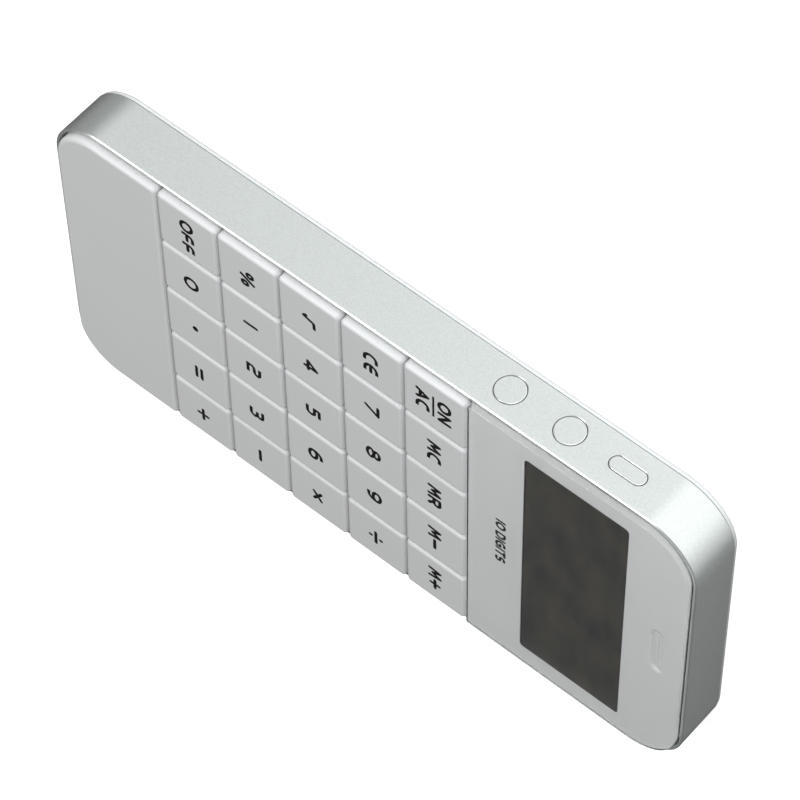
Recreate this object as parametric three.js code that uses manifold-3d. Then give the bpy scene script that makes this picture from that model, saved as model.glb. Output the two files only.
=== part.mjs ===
// Pocket calculator in the shape of a slim phone, lying on its back with its keys up.
// Millimetres. X is the width, Y the length with the display at +Y, Z is up, and Z = 0 is the back face.
import * as THREE from 'three';
import { mergeVertices } from 'three/addons/utils/BufferGeometryUtils.js';
import Module from 'manifold-3d';

const wasm = await Module();
wasm.setup();

// ---- driving dimensions -------------------------------------------------------------------------
const WIDTH = 58.6;              // outside of the silver frame
const LENGTH = 115.2;
const CORNER = 9.1;              // plan radius of the frame's corners
const FIT = 0.05;                // gap between pieces that touch on the real object

const COVER_TOP = 1.0;           // top of the back plate, where the frame starts
const RIM = 9.3;                 // front rim of the frame
const KEY_TOP = 10.34;
const LENS_TOP = 10.25;
const LENS_BOTTOM = 9.05;
const CAP_BOTTOM = 8.45;         // underside of the key caps and of the chin panel
const PLATE_TOP = 7.7;           // chassis plate that guides the keys
const PLATE_BOTTOM = 6.9;
const BOARD_TOP = 4.7;
const BOARD_BOTTOM = 3.7;

const FRAME_WALL = 1.6;
const RIM_WALL = 0.5;            // the wall is thinner round the keys and the lens
const RIM_STEP = 7.7;            // height where the thinner wall starts, below a pressed key
const FLANGE_WALL = 2.4;         // inner flange that the chassis rests on
const FLANGE_BOTTOM = 6.2;
const RIM_CHAMFER = 0.14;

const KEY_COLUMNS = 5;
const KEY_ROWS = 5;
const KEY_PITCH_X = 11.32;
const KEY_PITCH_Y = 11.21;
const KEY_GAP = 0.22;            // between neighbouring caps
const KEYS_START = -37.2;        // middle of the gap between the chin and the first row
const KEYS_END = KEYS_START + KEY_ROWS * KEY_PITCH_Y;
const KEY_CORNER = 0.8;
const KEY_FILLET = 0.7;
const STEM = 6.2;                // square foot under the cap
const STEM_HOLE = 6.8;
const STEM_BOTTOM = 6.1;
const LIP_WIDTH = 7.8;           // snap lips that hold the key under the chassis plate
const LIP_DEPTH = 2.4;
const LIP_HEIGHT = 0.4;

const BLOCK_WIDTH = KEY_COLUMNS * KEY_PITCH_X - KEY_GAP;
const CHIN_MARGIN = 1.0;         // from the blank panel to the end of the frame
const CHIN_CORNER = 7.6;
const LENS_MARGIN = 0.8;         // from the lens to the outside of the frame
const LENS_CORNER = 0.3;         // its two corners beside the keys
const LENS_BEVEL = 0.2;
const SLOT_LENGTH = 9.4;         // shallow slot in the lens
const SLOT_WIDTH = 2.1;
const SLOT_DEPTH = 0.4;
const SLOT_Y = 52.4;

const WINDOW_Y = 37.7;           // middle of the display
const GLASS_WIDTH = 53.0;
const GLASS_LENGTH = 22.4;
const GLASS_BOTTOM = 7.3;
const GLASS_GAP = 0.2;
const REFLECTOR_THICKNESS = 0.3;
const REFLECTOR_MARGIN = 1.7;    // from the edge of the glass
const HOLDER_WIDTH = 51.0;
const HOLDER_MARGIN = 2.6;       // room for the connector between the holder and the glass's edge
const HOLDER_END = 46.4;
const HOLDER_WALL = 1.2;
const STRIP_LENGTH = 48.0;
const STRIP_MARGIN = 0.5;
const STRIP_WIDTH = 1.6;

const CONTROL_Z = 4.9;           // side controls on the -X wall
const ROUND_RADIUS = 2.4;
const ROUND_PLACES = [['side_button_lower', 22.15], ['side_button_upper', 32.4]];
const LONG_Y = 42.2;
const LONG_LENGTH = 6.1;
const LONG_WIDTH = 2.6;
const CONTROL_GAP = 0.12;
const CONTROL_DEPTH = 0.95;
const POCKET_DEPTH = 1.35;       // blind pocket in the wall, deeper than the control by its travel

const DOOR_WIDTH = 34.0;         // the panel that shows, without its tongues
const DOOR_END = -26.0;
const DOOR_GAP = 0.15;
const DOOR_THICKNESS = COVER_TOP - FIT;
const RAIL = 0.9;                // tongue along each side of the door
const RAIL_BOTTOM = 0.5;
const RAIL_MARGIN = 1.2;         // from a tongue's end to the end of the case
const GRIP_COUNT = 4;
const GRIP_PITCH = 1.6;
const GRIP_FIRST = 8.0;          // from the door's inner end to its first groove
const GRIP_LENGTH = 12.0;
const GRIP_WIDTH = 0.7;
const GRIP_DEPTH = 0.3;

const CELL_Y = -46.0;
const CELL_RADIUS = 5.8;
const CELL_HEIGHT = 4.2;
const CELL_BOTTOM = 1.6;
const CELL_EDGE = 0.4;
const CELL_CAP_INSET = 0.9;      // from the cell's can to its smaller cap
const SHOULDER_LOW = 0.7;        // foot and top of the seal between them, below the cell's top
const SHOULDER_HIGH = 0.5;
const WELL_INNER = 6.15;
const WELL_OUTER = 7.3;
const WELL_BOTTOM = 1.2;
const LEAF = 0.25;               // thickness of the sprung contacts
const LEAF_WIDTH = 3.0;
const LEG_GAP = 0.8;
const SIDE_BOTTOM = 2.4;
const SIDE_TAIL = 1.2;           // how far the side contact reaches under the board
const NOTCH_MARGIN = 0.5;

const CASE_SCREW_X = 24.0;
const CASE_SCREW_Y = 50.0;
const BOSS_RADIUS = 2.3;
const COVER_BOSS_TOP = 3.6;
const HEAD_RADIUS = 1.6;
const HEAD_BOTTOM = 0.35;
const HEAD_TOP = 1.2;
const SHANK_RADIUS = 0.85;
const SHANK_TOP = 6.1;
const BOARD_BOSS_RADIUS = 1.6;
const BOARD_HEAD_RADIUS = 1.4;
const BOARD_HEAD_HEIGHT = 0.8;
const RECESS_WIDTH = 0.4;        // crossed recess in a screw's head
const RECESS_DEPTH = 0.4;
const RECESS_REACH = 0.6;        // half its length, as a part of the head's radius
const HOLE_CLEARANCE = 0.15;     // round a screw's shank

const BOARD_WIDTH = 52.0;
const BOARD_START = -38.4;
const BOARD_END = 46.8;
const MAT_BOTTOM = BOARD_TOP + FIT;
const MAT_TOP = 5.05;
const PAD_TOP = 5.35;
const PAD_RADIUS = 2.5;
const MAT_CORNER = 1.5;
const BOARD_CORNER = 1.0;

const BLOB_PLACE = [4.0, 4.0];
const BLOB_RADIUS = 5.0;
const BLOB_HEIGHT = 1.5;
const CAN_PLACE = [-14.0, -12.0];
const CAN_RADIUS = 1.1;
const CAN_LENGTH = 5.0;

const PEG_X = 18.0;              // pegs that hold the blank panel on the chassis
const PEG_Y = -52.0;
const PEG_RADIUS = 1.2;

const CUT = 1.0;                 // how far a cutting block reaches past what it cuts
const MERGE = 0.2;               // how far joined solids overlap
const STRAIGHT = 0.01;           // left between the two arcs of a rounded end

// ---- materials ----------------------------------------------------------------------------------
const material = (color, roughness, metalness = 0) =>
  new THREE.MeshStandardMaterial({ color, roughness, metalness });
const SILVER = material(0xc9cfcb, 0.38, 0.6);
const WHITE = material(0xe9e9ea, 0.35);
const COVER_WHITE = material(0xf1f2f2, 0.25);
const CLEAR = material(0xdfe3e5, 0.08);
const CHASSIS = material(0xdadada, 0.5);
const LCD = material(0x45463f, 0.15);
const SILICONE = material(0xb9bcbe, 0.7);
const BOARD = material(0x2f6a3f, 0.5);
const EPOXY = material(0x18181a, 0.4);
const STEEL = material(0xb8babb, 0.3, 1);
const NICKEL = material(0xcfcfc8, 0.28, 1);
const RUBBER = material(0x4a4a50, 0.8);

// ---- geometry tools -----------------------------------------------------------------------------
const CORNER_STEPS = 8;
const ROUND_SIDES = 24;

// A plan outline from x0..x1, y0..y1 with its own radius at the low-Y and the high-Y corners.
function outline(x0, x1, y0, y1, lowRadius, highRadius = lowRadius) {
  const shape = new THREE.Shape();
  const quarter = Math.PI / 2;
  shape.moveTo(x1, y0 + lowRadius);
  shape.lineTo(x1, y1 - highRadius);
  shape.absarc(x1 - highRadius, y1 - highRadius, highRadius, 0, quarter);
  shape.lineTo(x0 + highRadius, y1);
  shape.absarc(x0 + highRadius, y1 - highRadius, highRadius, quarter, 2 * quarter);
  shape.lineTo(x0, y0 + lowRadius);
  shape.absarc(x0 + lowRadius, y0 + lowRadius, lowRadius, 2 * quarter, 3 * quarter);
  shape.lineTo(x1 - lowRadius, y0);
  shape.absarc(x1 - lowRadius, y0 + lowRadius, lowRadius, 3 * quarter, 4 * quarter);
  return shape;
}

// A frame-shaped outline, a distance inside the outer wall.
function inset(distance) {
  const halfWidth = WIDTH / 2 - distance;
  const halfLength = LENGTH / 2 - distance;
  return outline(-halfWidth, halfWidth, -halfLength, halfLength, CORNER - distance);
}

function solidOf(geometry) {
  const bare = geometry.index ? geometry.toNonIndexed() : geometry;
  bare.deleteAttribute('normal');
  bare.deleteAttribute('uv');
  const merged = mergeVertices(bare, 1e-4);
  return new wasm.Manifold(new wasm.Mesh({
    numProp: 3,
    vertProperties: new Float32Array(merged.attributes.position.array),
    triVerts: new Uint32Array(merged.index.array),
  }));
}

function prism(shape, low, high, steps = CORNER_STEPS) {
  const geometry = new THREE.ExtrudeGeometry(shape, {
    depth: high - low, bevelEnabled: false, curveSegments: steps,
  });
  geometry.translate(0, 0, low);
  return solidOf(geometry);
}

// A prism whose top edge is rounded: the bevel at its foot lies below low and is cut away.
function roundedPrism(shape, low, high, radius, segments, steps = CORNER_STEPS) {
  const geometry = new THREE.ExtrudeGeometry(shape, {
    depth: high - low,
    bevelEnabled: true,
    bevelThickness: radius,
    bevelSize: radius,
    bevelOffset: -radius,
    bevelSegments: segments,
    curveSegments: steps,
  });
  geometry.translate(0, 0, low - radius);
  return solidOf(geometry).subtract(block(-WIDTH, WIDTH, -LENGTH, LENGTH, low - 2 * radius - CUT, low));
}

function block(x0, x1, y0, y1, z0, z1) {
  const geometry = new THREE.BoxGeometry(x1 - x0, y1 - y0, z1 - z0);
  geometry.translate((x0 + x1) / 2, (y0 + y1) / 2, (z0 + z1) / 2);
  return solidOf(geometry);
}

function cylinder(x, y, radius, z0, z1, sides = 12) {
  const geometry = new THREE.CylinderGeometry(radius, radius, z1 - z0, sides);
  geometry.rotateX(Math.PI / 2);
  geometry.translate(x, y, (z0 + z1) / 2);
  return solidOf(geometry);
}

function geometryOf(solid) {
  const { vertProperties, triVerts } = solid.getMesh();
  const geometry = new THREE.BufferGeometry();
  geometry.setAttribute('position', new THREE.BufferAttribute(new Float32Array(vertProperties), 3));
  geometry.setIndex(new THREE.BufferAttribute(new Uint32Array(triVerts), 1));
  geometry.computeVertexNormals();
  return geometry;
}

const calculator = new THREE.Group();

function add(name, geometry, skin, x = 0, y = 0, z = 0) {
  const mesh = new THREE.Mesh(geometry, skin);
  mesh.name = name;
  mesh.position.set(x, y, z);
  calculator.add(mesh);
}

// ---- silver middle frame ------------------------------------------------------------------------
const CONTROL_STEPS = 12;
const controlShape = (grow) => outline(
  -LONG_LENGTH / 2 - grow, LONG_LENGTH / 2 + grow,
  -LONG_WIDTH / 2 - grow, LONG_WIDTH / 2 + grow,
  LONG_WIDTH / 2 + grow - STRAIGHT,
);

// A solid drawn in the plane of the -X wall: its own X runs along Y, its own Y along Z.
function onWall(shape, y, x0, x1) {
  const geometry = new THREE.ExtrudeGeometry(shape, {
    depth: x1 - x0, bevelEnabled: false, curveSegments: CONTROL_STEPS,
  });
  geometry.rotateX(Math.PI / 2);
  geometry.rotateZ(Math.PI / 2);
  geometry.translate(x0, y, CONTROL_Z);
  return solidOf(geometry);
}

const disc = (radius) => {
  const shape = new THREE.Shape();
  shape.absarc(0, 0, radius, 0, 2 * Math.PI);
  return shape;
};

const WALL_FACE = -WIDTH / 2;
const controls = [
  ...ROUND_PLACES.map(([name, y]) => ({ name, y, shape: (grow) => disc(ROUND_RADIUS + grow) })),
  { name: 'side_button_long', y: LONG_Y, shape: controlShape },
];

let frameSolid = roundedPrism(inset(0), COVER_TOP, RIM, RIM_CHAMFER, 1);
frameSolid = frameSolid.subtract(prism(inset(RIM_WALL), RIM_STEP, RIM + CUT));
frameSolid = frameSolid.subtract(prism(inset(FRAME_WALL), PLATE_BOTTOM - FIT, RIM_STEP + CUT));
frameSolid = frameSolid.subtract(prism(inset(FLANGE_WALL), FLANGE_BOTTOM - CUT, PLATE_BOTTOM));
frameSolid = frameSolid.subtract(prism(inset(FRAME_WALL), COVER_TOP - CUT, FLANGE_BOTTOM));
for (const { y, shape } of controls) {
  frameSolid = frameSolid.subtract(onWall(shape(0), y, WALL_FACE - CUT, WALL_FACE + POCKET_DEPTH));
}
add('middle_frame', geometryOf(frameSolid), SILVER);

for (const { name, y, shape } of controls) {
  const insert = onWall(shape(-CONTROL_GAP), y, WALL_FACE, WALL_FACE + CONTROL_DEPTH);
  add(name, geometryOf(insert), SILVER);
}

// ---- back cover and battery door ----------------------------------------------------------------
const screwPlaces = [
  [-CASE_SCREW_X, -CASE_SCREW_Y],
  [CASE_SCREW_X, -CASE_SCREW_Y],
  [-CASE_SCREW_X, CASE_SCREW_Y],
  [CASE_SCREW_X, CASE_SCREW_Y],
];
const COVER_INSET = 0.12;
const COVER_ROUND = 0.6;
const ROUND_SEGMENTS = 3;
const COVER_LIP = 1.0;           // upstand that locates the plate inside the frame
const LIP_TOP = 2.6;

// The rounded plate is made face down and turned over, so that its rounded edge is the lower one.
function turnedPlate(shape, thickness, radius, segments) {
  const half = new THREE.ExtrudeGeometry(shape, {
    depth: thickness, bevelEnabled: true, bevelThickness: radius, bevelSize: radius,
    bevelOffset: -radius, bevelSegments: segments, curveSegments: CORNER_STEPS,
  });
  half.translate(0, 0, radius);
  const above = block(-WIDTH, WIDTH, -LENGTH, LENGTH, thickness, thickness + 2 * radius + CUT);
  return solidOf(half).subtract(above);
}

let cover = turnedPlate(inset(COVER_INSET), COVER_TOP, COVER_ROUND, ROUND_SEGMENTS);
const lipOutside = FRAME_WALL + 2 * FIT;
const lip = prism(inset(lipOutside), COVER_TOP - MERGE, LIP_TOP)
  .subtract(prism(inset(lipOutside + COVER_LIP), 0, LIP_TOP + CUT));
cover = cover.add(lip);
const doorHalf = DOOR_WIDTH / 2;
const panelHalf = doorHalf + DOOR_GAP;
cover = cover.subtract(block(-panelHalf, panelHalf, -LENGTH, DOOR_END, -CUT, LIP_TOP + CUT));
const railHalf = doorHalf + RAIL;
cover = cover.subtract(block(
  -railHalf - DOOR_GAP, railHalf + DOOR_GAP, -LENGTH, DOOR_END, RAIL_BOTTOM, LIP_TOP + CUT,
));
for (const [x, y] of screwPlaces) {
  cover = cover.add(cylinder(x, y, BOSS_RADIUS, COVER_TOP - MERGE, COVER_BOSS_TOP));
}
for (const [x, y] of screwPlaces) {
  cover = cover.subtract(cylinder(x, y, HEAD_RADIUS + 2 * HOLE_CLEARANCE, -CUT, HEAD_TOP + FIT));
  cover = cover.subtract(cylinder(x, y, SHANK_RADIUS + HOLE_CLEARANCE, 0, COVER_BOSS_TOP + CUT));
}
add('back_cover', geometryOf(cover), COVER_WHITE);

const doorEnd = DOOR_END - DOOR_GAP;
const plateBlank = turnedPlate(inset(COVER_INSET), DOOR_THICKNESS, COVER_ROUND, ROUND_SEGMENTS);
const doorPanel = plateBlank.intersect(
  block(-doorHalf, doorHalf, -LENGTH, doorEnd, -CUT, DOOR_THICKNESS + CUT),
);
const rails = block(
  -railHalf, railHalf, -LENGTH / 2 + RAIL_MARGIN, doorEnd - RAIL, RAIL_BOTTOM + FIT, DOOR_THICKNESS,
);
let door = doorPanel.add(rails);
for (let i = 0; i < GRIP_COUNT; i += 1) {
  const y = DOOR_END - GRIP_FIRST - i * GRIP_PITCH;
  door = door.subtract(block(
    -GRIP_LENGTH / 2, GRIP_LENGTH / 2, y - GRIP_WIDTH / 2, y + GRIP_WIDTH / 2, -CUT, GRIP_DEPTH,
  ));
}
add('battery_door', geometryOf(door), COVER_WHITE);

// ---- chassis ------------------------------------------------------------------------------------
const columnX = (column) => (column - (KEY_COLUMNS - 1) / 2) * KEY_PITCH_X;
const rowY = (row) => KEYS_START + (row + 0.5) * KEY_PITCH_Y;
const boardScrewX = 1.5 * KEY_PITCH_X;
const boardScrewPlaces = [
  [-boardScrewX, rowY(0.5)],
  [boardScrewX, rowY(0.5)],
  [-boardScrewX, rowY(3.5)],
  [boardScrewX, rowY(3.5)],
];
const CHASSIS_INSET = FRAME_WALL + 2 * FIT;
const PEDESTAL_INSET = 2.0;      // raised lands under the lens and the blank panel
const LAND_MARGIN = 0.5;
const lensLow = KEYS_END + KEY_GAP / 2;
const chinHigh = KEYS_START - KEY_GAP / 2;

let chassis = prism(inset(CHASSIS_INSET), PLATE_BOTTOM, PLATE_TOP);
const pedestal = prism(inset(PEDESTAL_INSET), PLATE_TOP - MERGE, LENS_BOTTOM - FIT);
const lensLand = pedestal.intersect(block(-WIDTH, WIDTH, lensLow + LAND_MARGIN, LENGTH, 0, RIM));
const chinLand = pedestal.intersect(
  block(-WIDTH, WIDTH, -LENGTH, chinHigh - LAND_MARGIN, 0, CAP_BOTTOM - FIT),
);
chassis = chassis.add(lensLand).add(chinLand);
const glassX = GLASS_WIDTH / 2;
const glassLow = WINDOW_Y - GLASS_LENGTH / 2;
const glassHigh = WINDOW_Y + GLASS_LENGTH / 2;
chassis = chassis.subtract(block(
  -glassX - GLASS_GAP, glassX + GLASS_GAP, glassLow - GLASS_GAP, glassHigh + GLASS_GAP, 0, RIM,
));
for (let row = 0; row < KEY_ROWS; row += 1) {
  for (let column = 0; column < KEY_COLUMNS; column += 1) {
    const x = columnX(column);
    const y = rowY(row);
    const half = STEM_HOLE / 2;
    chassis = chassis.subtract(block(x - half, x + half, y - half, y + half, 0, PLATE_TOP + CUT));
  }
}
for (const [x, y] of screwPlaces) {
  chassis = chassis.add(cylinder(x, y, BOSS_RADIUS, COVER_BOSS_TOP + FIT, PLATE_BOTTOM + MERGE));
  chassis = chassis.subtract(cylinder(x, y, SHANK_RADIUS + FIT, 0, SHANK_TOP + MERGE));
}
for (const [x, y] of boardScrewPlaces) {
  chassis = chassis.add(cylinder(x, y, BOARD_BOSS_RADIUS, BOARD_TOP + FIT, PLATE_BOTTOM + MERGE));
  chassis = chassis.subtract(cylinder(x, y, SHANK_RADIUS + FIT, 0, SHANK_TOP + MERGE));
}
const wellWall = cylinder(0, CELL_Y, WELL_OUTER, WELL_BOTTOM, PLATE_BOTTOM + MERGE, ROUND_SIDES);
chassis = chassis.add(wellWall);
chassis = chassis.subtract(cylinder(0, CELL_Y, WELL_INNER, 0, PLATE_BOTTOM - FIT, ROUND_SIDES));
const notchEnd = CELL_Y + WELL_OUTER + CUT;
const notchHalf = LEAF_WIDTH / 2 + NOTCH_MARGIN;
chassis = chassis.subtract(block(-notchHalf, notchHalf, CELL_Y, notchEnd, BOARD_TOP, PLATE_BOTTOM));
const sideX = CELL_RADIUS + FIT;
chassis = chassis.subtract(block(
  sideX - NOTCH_MARGIN, sideX + LEAF + NOTCH_MARGIN,
  CELL_Y - notchHalf, notchEnd, SIDE_BOTTOM - MERGE, BOARD_BOTTOM + MERGE,
));
const pegPlaces = [[-PEG_X, PEG_Y], [PEG_X, PEG_Y]];
for (const [x, y] of pegPlaces) {
  chassis = chassis.subtract(cylinder(x, y, PEG_RADIUS + HOLE_CLEARANCE, 0, RIM));
}
add('front_chassis', geometryOf(chassis), CHASSIS);

// ---- chin panel and display lens ----------------------------------------------------------------
const blockHalf = BLOCK_WIDTH / 2;
let chin = roundedPrism(
  outline(-blockHalf, blockHalf, -LENGTH / 2 + CHIN_MARGIN, chinHigh, CHIN_CORNER, KEY_CORNER),
  CAP_BOTTOM, KEY_TOP, KEY_FILLET, 2,
);
for (const [x, y] of pegPlaces) {
  chin = chin.add(cylinder(x, y, PEG_RADIUS, PLATE_BOTTOM, CAP_BOTTOM + MERGE));
}
add('chin_panel', geometryOf(chin), WHITE);

const lensHalf = WIDTH / 2 - LENS_MARGIN;
const lensEnd = LENGTH / 2 - LENS_MARGIN;
let lens = roundedPrism(
  outline(-lensHalf, lensHalf, lensLow, lensEnd, LENS_CORNER, CORNER - LENS_MARGIN),
  LENS_BOTTOM, LENS_TOP, LENS_BEVEL, 2,
);
const slotX = SLOT_LENGTH / 2;
const slotEnd = SLOT_WIDTH / 2;
lens = lens.subtract(prism(
  outline(-slotX, slotX, SLOT_Y - slotEnd, SLOT_Y + slotEnd, slotEnd - STRAIGHT),
  LENS_TOP - SLOT_DEPTH, LENS_TOP + CUT,
));
add('display_lens', geometryOf(lens), CLEAR);

// ---- 25 keys ------------------------------------------------------------------------------------
const capX = (KEY_PITCH_X - KEY_GAP) / 2;
const capY = (KEY_PITCH_Y - KEY_GAP) / 2;
const capShape = outline(-capX, capX, -capY, capY, KEY_CORNER);
const cap = roundedPrism(capShape, CAP_BOTTOM, KEY_TOP, KEY_FILLET, 2, 3);
const stem = block(-STEM / 2, STEM / 2, -STEM / 2, STEM / 2, STEM_BOTTOM, CAP_BOTTOM + MERGE);
const snapLips = block(
  -LIP_WIDTH / 2, LIP_WIDTH / 2, -LIP_DEPTH / 2, LIP_DEPTH / 2, STEM_BOTTOM, STEM_BOTTOM + LIP_HEIGHT,
);
const keyGeometry = geometryOf(cap.add(stem).add(snapLips));
const KEY_NAMES = [
  ['key_off', 'key_0', 'key_point', 'key_equals', 'key_plus'],
  ['key_percent', 'key_1', 'key_2', 'key_3', 'key_minus'],
  ['key_root', 'key_4', 'key_5', 'key_6', 'key_multiply'],
  ['key_ce', 'key_7', 'key_8', 'key_9', 'key_divide'],
  ['key_on', 'key_mc', 'key_mr', 'key_m_minus', 'key_m_plus'],
];
KEY_NAMES.forEach((names, row) => {
  names.forEach((name, column) => add(name, keyGeometry, WHITE, columnX(column), rowY(row)));
});

// ---- silicone mat and circuit board -------------------------------------------------------------
const matX = BOARD_WIDTH / 2;
const matLow = KEYS_START + KEY_GAP;
const matHigh = KEYS_END - KEY_GAP;
let mat = prism(outline(-matX, matX, matLow, matHigh, MAT_CORNER), MAT_BOTTOM, MAT_TOP, 3);
for (let row = 0; row < KEY_ROWS; row += 1) {
  for (let column = 0; column < KEY_COLUMNS; column += 1) {
    mat = mat.add(cylinder(columnX(column), rowY(row), PAD_RADIUS, MAT_TOP - MERGE, PAD_TOP));
  }
}
for (const [x, y] of boardScrewPlaces) {
  mat = mat.subtract(cylinder(x, y, BOARD_BOSS_RADIUS + 2 * HOLE_CLEARANCE, 0, RIM));
}
add('keypad_membrane', geometryOf(mat), SILICONE);

let board = prism(outline(-matX, matX, BOARD_START, BOARD_END, BOARD_CORNER), BOARD_BOTTOM, BOARD_TOP, 3);
for (const [x, y] of boardScrewPlaces) {
  board = board.subtract(cylinder(x, y, SHANK_RADIUS + HOLE_CLEARANCE, 0, RIM));
}
add('circuit_board', geometryOf(board), BOARD);

const blobProfile = [new THREE.Vector2(0, 0), new THREE.Vector2(BLOB_RADIUS, 0)];
const BLOB_STEPS = 5;
for (let i = 1; i <= BLOB_STEPS; i += 1) {
  const angle = (i / BLOB_STEPS) * (Math.PI / 2);
  const radius = i === BLOB_STEPS ? 0 : BLOB_RADIUS * Math.cos(angle);
  blobProfile.push(new THREE.Vector2(radius, BLOB_HEIGHT * Math.sin(angle)));
}
const blob = new THREE.LatheGeometry(blobProfile, ROUND_SIDES);
blob.rotateX(-Math.PI / 2);
add('chip_blob', geometryOf(solidOf(blob)), EPOXY, ...BLOB_PLACE, BOARD_BOTTOM - FIT);

const can = new THREE.CylinderGeometry(CAN_RADIUS, CAN_RADIUS, CAN_LENGTH, ROUND_SIDES);
can.rotateZ(Math.PI / 2);
add('capacitor', geometryOf(solidOf(can)), STEEL, ...CAN_PLACE, BOARD_BOTTOM - FIT - CAN_RADIUS);

// ---- display parts ------------------------------------------------------------------------------
const holderX = HOLDER_WIDTH / 2;
const holderLow = glassLow + HOLDER_MARGIN;
const reflectorX = glassX - REFLECTOR_MARGIN;
const reflectorTop = GLASS_BOTTOM - FIT;
const reflectorBottom = reflectorTop - REFLECTOR_THICKNESS;
add('lcd_glass', geometryOf(
  block(-glassX, glassX, glassLow, glassHigh, GLASS_BOTTOM, LENS_BOTTOM - 2 * FIT),
), LCD);
add('lcd_reflector', geometryOf(
  block(-reflectorX, reflectorX, holderLow, glassHigh - REFLECTOR_MARGIN, reflectorBottom, reflectorTop),
), COVER_WHITE);
const holderHole = block(
  -holderX + HOLDER_WALL, holderX - HOLDER_WALL,
  holderLow + HOLDER_WALL, HOLDER_END - HOLDER_WALL, 0, RIM,
);
const holder = block(-holderX, holderX, holderLow, HOLDER_END, BOARD_TOP + FIT, reflectorBottom - FIT);
add('lcd_holder', geometryOf(holder.subtract(holderHole)), CHASSIS);
const stripX = STRIP_LENGTH / 2;
const stripLow = glassLow + STRIP_MARGIN;
add('zebra_strip', geometryOf(
  block(-stripX, stripX, stripLow, stripLow + STRIP_WIDTH, BOARD_TOP + FIT, reflectorTop),
), RUBBER);

// ---- cell and contacts --------------------------------------------------------------------------
const capRadius = CELL_RADIUS - CELL_CAP_INSET;
const cellProfile = [
  new THREE.Vector2(0, 0),
  new THREE.Vector2(CELL_RADIUS - CELL_EDGE, 0),
  new THREE.Vector2(CELL_RADIUS, CELL_EDGE),
  new THREE.Vector2(CELL_RADIUS, CELL_HEIGHT - SHOULDER_LOW),
  new THREE.Vector2(capRadius, CELL_HEIGHT - SHOULDER_HIGH),
  new THREE.Vector2(capRadius, CELL_HEIGHT),
  new THREE.Vector2(0, CELL_HEIGHT),
];
const cell = new THREE.LatheGeometry(cellProfile, ROUND_SIDES);
cell.rotateX(Math.PI / 2);
add('button_cell', geometryOf(solidOf(cell)), STEEL, 0, CELL_Y, CELL_BOTTOM);

const leafX = LEAF_WIDTH / 2;
const leafBottom = CELL_BOTTOM + CELL_HEIGHT + FIT;
const leafTop = leafBottom + LEAF;
const legY = CELL_Y + WELL_OUTER + LEG_GAP;
const leaf = block(-leafX, leafX, CELL_Y - LEAF_WIDTH, legY, leafBottom, leafTop)
  .add(block(-leafX, leafX, legY - LEAF, legY, BOARD_TOP + FIT, leafTop));
add('negative_contact', geometryOf(leaf), NICKEL);
add('positive_contact', geometryOf(
  block(sideX, sideX + LEAF, CELL_Y - leafX, BOARD_START + SIDE_TAIL, SIDE_BOTTOM, BOARD_BOTTOM - FIT),
), NICKEL);

// ---- screws -------------------------------------------------------------------------------------
// The head is at the low end, with a cross recess cut into it.
function screw(headRadius, headBottom, headTop, shankTop) {
  const body = cylinder(0, 0, headRadius, headBottom, headTop, ROUND_SIDES)
    .add(cylinder(0, 0, SHANK_RADIUS - FIT, headTop - MERGE, shankTop));
  const arm = headRadius * RECESS_REACH;
  const half = RECESS_WIDTH / 2;
  const low = headBottom - CUT;
  const high = headBottom + RECESS_DEPTH;
  const recess = block(-arm, arm, -half, half, low, high).add(block(-half, half, -arm, arm, low, high));
  return geometryOf(body.subtract(recess));
}
const caseScrew = screw(HEAD_RADIUS, HEAD_BOTTOM, HEAD_TOP, SHANK_TOP);
screwPlaces.forEach(([x, y], i) => add(`case_screw_${i + 1}`, caseScrew, STEEL, x, y));
const boardHeadTop = BOARD_BOTTOM - FIT;
const boardScrew = screw(
  BOARD_HEAD_RADIUS, boardHeadTop - BOARD_HEAD_HEIGHT, boardHeadTop, SHANK_TOP - MERGE,
);
boardScrewPlaces.forEach(([x, y], i) => add(`board_screw_${i + 1}`, boardScrew, STEEL, x, y));

export default calculator;
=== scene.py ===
import math
import random

import bmesh
import bpy
from mathutils import Matrix, Vector
from mathutils.geometry import delaunay_2d_cdt


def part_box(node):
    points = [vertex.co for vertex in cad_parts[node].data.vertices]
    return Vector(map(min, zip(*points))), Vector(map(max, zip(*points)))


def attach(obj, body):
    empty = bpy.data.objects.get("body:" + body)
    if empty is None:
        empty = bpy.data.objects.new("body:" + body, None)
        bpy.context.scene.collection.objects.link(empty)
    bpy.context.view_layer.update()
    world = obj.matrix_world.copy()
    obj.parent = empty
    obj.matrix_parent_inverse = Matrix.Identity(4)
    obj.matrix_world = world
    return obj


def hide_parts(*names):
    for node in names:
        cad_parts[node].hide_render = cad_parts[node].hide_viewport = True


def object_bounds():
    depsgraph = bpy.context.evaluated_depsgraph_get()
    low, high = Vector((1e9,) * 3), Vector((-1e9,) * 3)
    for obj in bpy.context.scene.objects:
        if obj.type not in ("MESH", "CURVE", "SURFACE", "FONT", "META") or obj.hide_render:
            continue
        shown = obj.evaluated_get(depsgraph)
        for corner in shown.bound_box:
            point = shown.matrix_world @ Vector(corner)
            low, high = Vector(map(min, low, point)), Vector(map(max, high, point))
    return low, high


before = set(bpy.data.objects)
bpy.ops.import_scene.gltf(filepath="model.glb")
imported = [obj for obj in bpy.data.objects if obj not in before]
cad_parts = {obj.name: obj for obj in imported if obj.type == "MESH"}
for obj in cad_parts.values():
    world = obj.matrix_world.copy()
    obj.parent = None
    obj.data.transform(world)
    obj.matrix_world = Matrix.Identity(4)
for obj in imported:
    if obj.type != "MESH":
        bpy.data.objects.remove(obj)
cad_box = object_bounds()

# ---- Back cover ---------------------------------------------------------------------------------
# The plate that closes the back: glossy white injection-moulded ABS with a rounded lower edge and
# an upstand that locates it inside the silver frame. Four screws from below hold it.
MM = 0.001
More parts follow.
